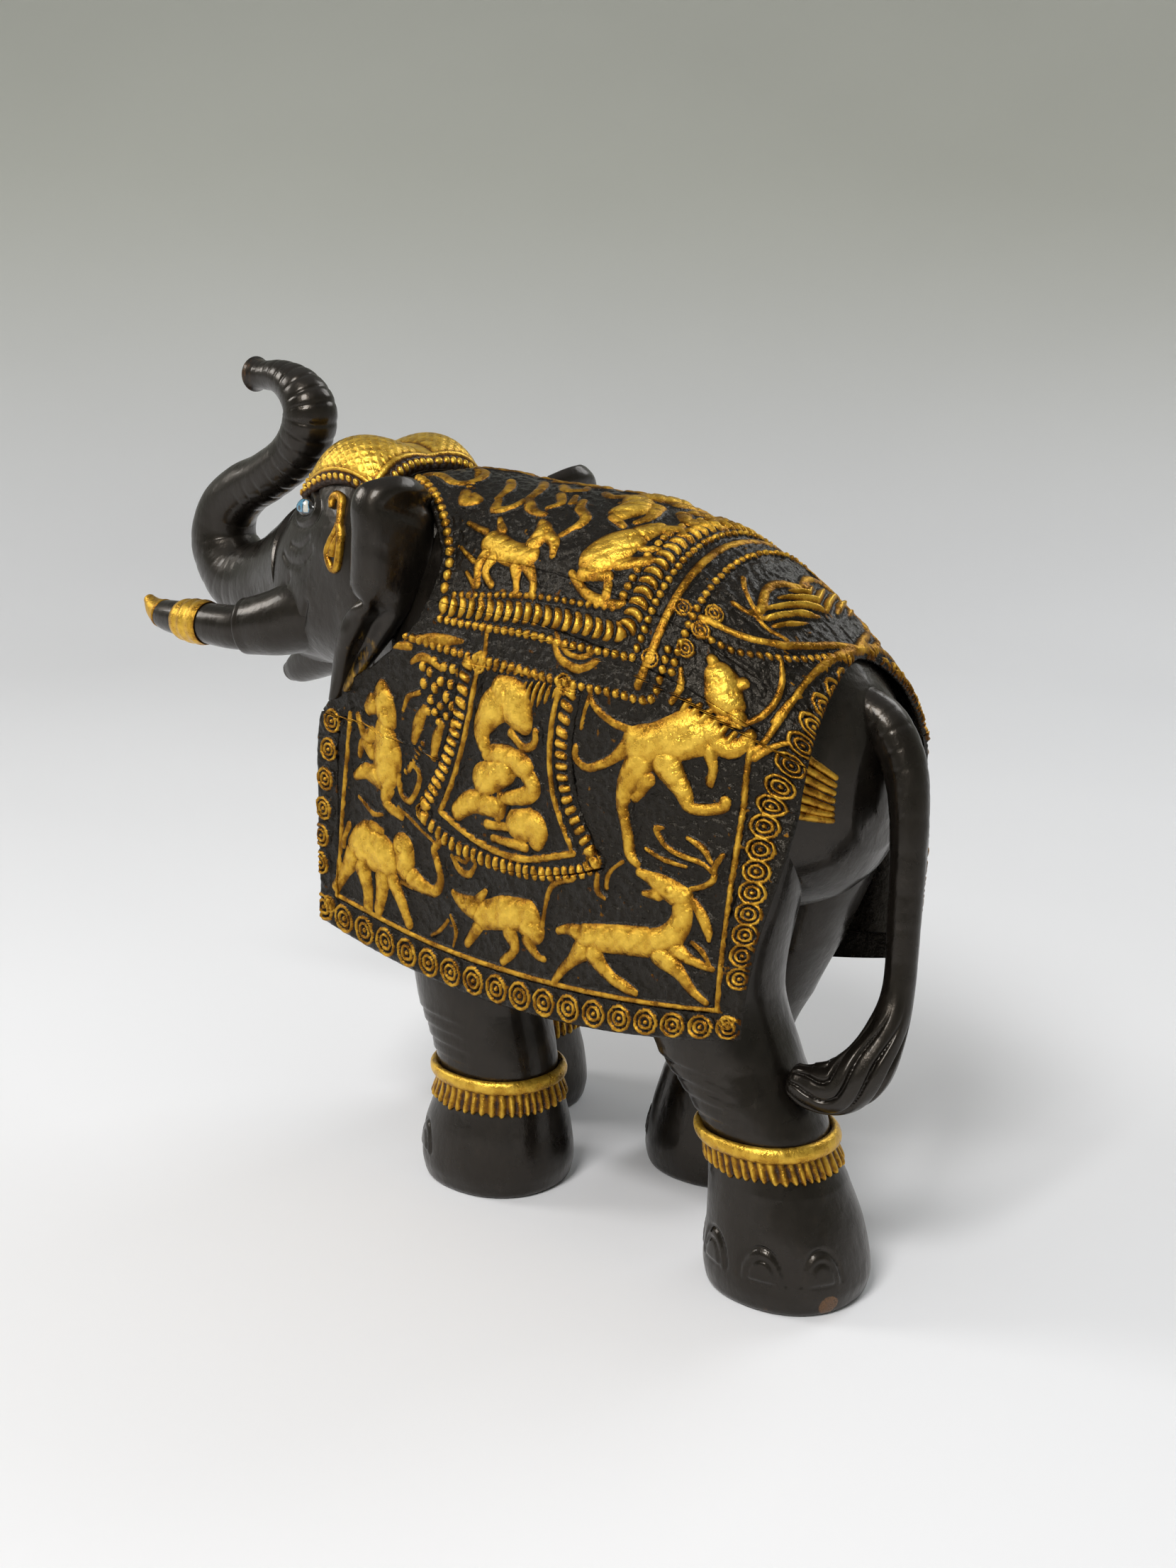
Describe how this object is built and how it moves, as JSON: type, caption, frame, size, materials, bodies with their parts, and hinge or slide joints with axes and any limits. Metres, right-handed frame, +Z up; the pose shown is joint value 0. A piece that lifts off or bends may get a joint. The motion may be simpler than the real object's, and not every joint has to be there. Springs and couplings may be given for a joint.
{
  "type": "carved elephant statuette",
  "caption": "Walking elephant showpiece with raised trunk, carved caparison, headdress, anklets and tusks, joined from carved and lacquered wooden blocks.",
  "frame": {"origin": "on the floor plane under the middle of the whole statuette", "axes": "+Z up, elephant faces -Y, its left side is +X"},
  "size_m": [0.1852, 0.5464, 0.4393],
  "materials": {
    "anklet_gilding": "antique gold rubbed over black-lacquered carving",
    "band_relief": "gold rubbed on raised relief over a glossy black pebbled ground",
    "bare_wood": "unpainted turned wood",
    "body_lacquer": "gloss warm-black lacquer over carved wood",
    "border_gilding": "antique gold rubbed over black-lacquered carving",
    "crupper_gilding": "antique gold rubbed over black-lacquered carving",
    "ear_lacquer": "gloss warm-black lacquer over carved wood",
    "eye_enamel": "white gloss enamel with a painted blue iris and black pupil",
    "flank_relief": "gold rubbed on raised relief over a glossy black pebbled ground",
    "fringe_gilding": "antique gold rubbed over black-lacquered carving",
    "head_lacquer": "gloss warm-black lacquer over carved wood",
    "headdress_gilding": "antique gold rubbed over black-lacquered carving",
    "leg_lacquer": "gloss warm-black lacquer over carved wood",
    "niche_relief": "gold rubbed on raised relief over a glossy black pebbled ground",
    "saddle_relief": "gold rubbed on raised relief over a glossy black pebbled ground",
    "tail_lacquer": "gloss warm-black lacquer over carved wood",
    "trunk_lacquer": "gloss warm-black lacquer over carved wood",
    "tusk_gilding": "antique gold rubbed over black-lacquered carving",
    "tusk_lacquer": "gloss warm-black lacquer over carved wood"
  },
  "bodies": {
    "root": {"body": "body_lacquer", "front_left_anklet": "anklet_gilding", "front_left_fringe": "fringe_gilding", "front_left_leg": "leg_lacquer", "front_left_peg": "bare_wood", "front_right_anklet": "anklet_gilding", "front_right_fringe": "fringe_gilding", "front_right_leg": "leg_lacquer", "front_right_peg": "bare_wood", "head": "head_lacquer", "headdress": "headdress_gilding", "left_border": "border_gilding", "left_cheek_drop": "headdress_gilding", "left_crupper": "crupper_gilding", "left_ear": "ear_lacquer", "left_eye": "eye_enamel", "left_flank_cloth": "flank_relief", "left_niche": "niche_relief", "left_scroll_band": "band_relief", "left_tusk": "tusk_lacquer", "left_tusk_band": "tusk_gilding", "left_tusk_cap": "tusk_gilding", "left_tusk_pin": "bare_wood", "lower_lip": "head_lacquer", "lower_neck_peg": "bare_wood", "rear_left_anklet": "anklet_gilding", "rear_left_fringe": "fringe_gilding", "rear_left_leg": "leg_lacquer", "rear_left_peg": "bare_wood", "rear_right_anklet": "anklet_gilding", "rear_right_fringe": "fringe_gilding", "rear_right_leg": "leg_lacquer", "rear_right_peg": "bare_wood", "right_border": "border_gilding", "right_cheek_drop": "headdress_gilding", "right_crupper": "crupper_gilding", "right_ear": "ear_lacquer", "right_eye": "eye_enamel", "right_flank_cloth": "flank_relief", "right_niche": "niche_relief", "right_scroll_band": "band_relief", "right_tusk": "tusk_lacquer", "right_tusk_band": "tusk_gilding", "right_tusk_cap": "tusk_gilding", "right_tusk_pin": "bare_wood", "saddle_cloth": "saddle_relief", "tail": "tail_lacquer", "trunk": "trunk_lacquer", "trunk_peg": "bare_wood", "upper_neck_peg": "bare_wood"}
  },
  "joints": []
}
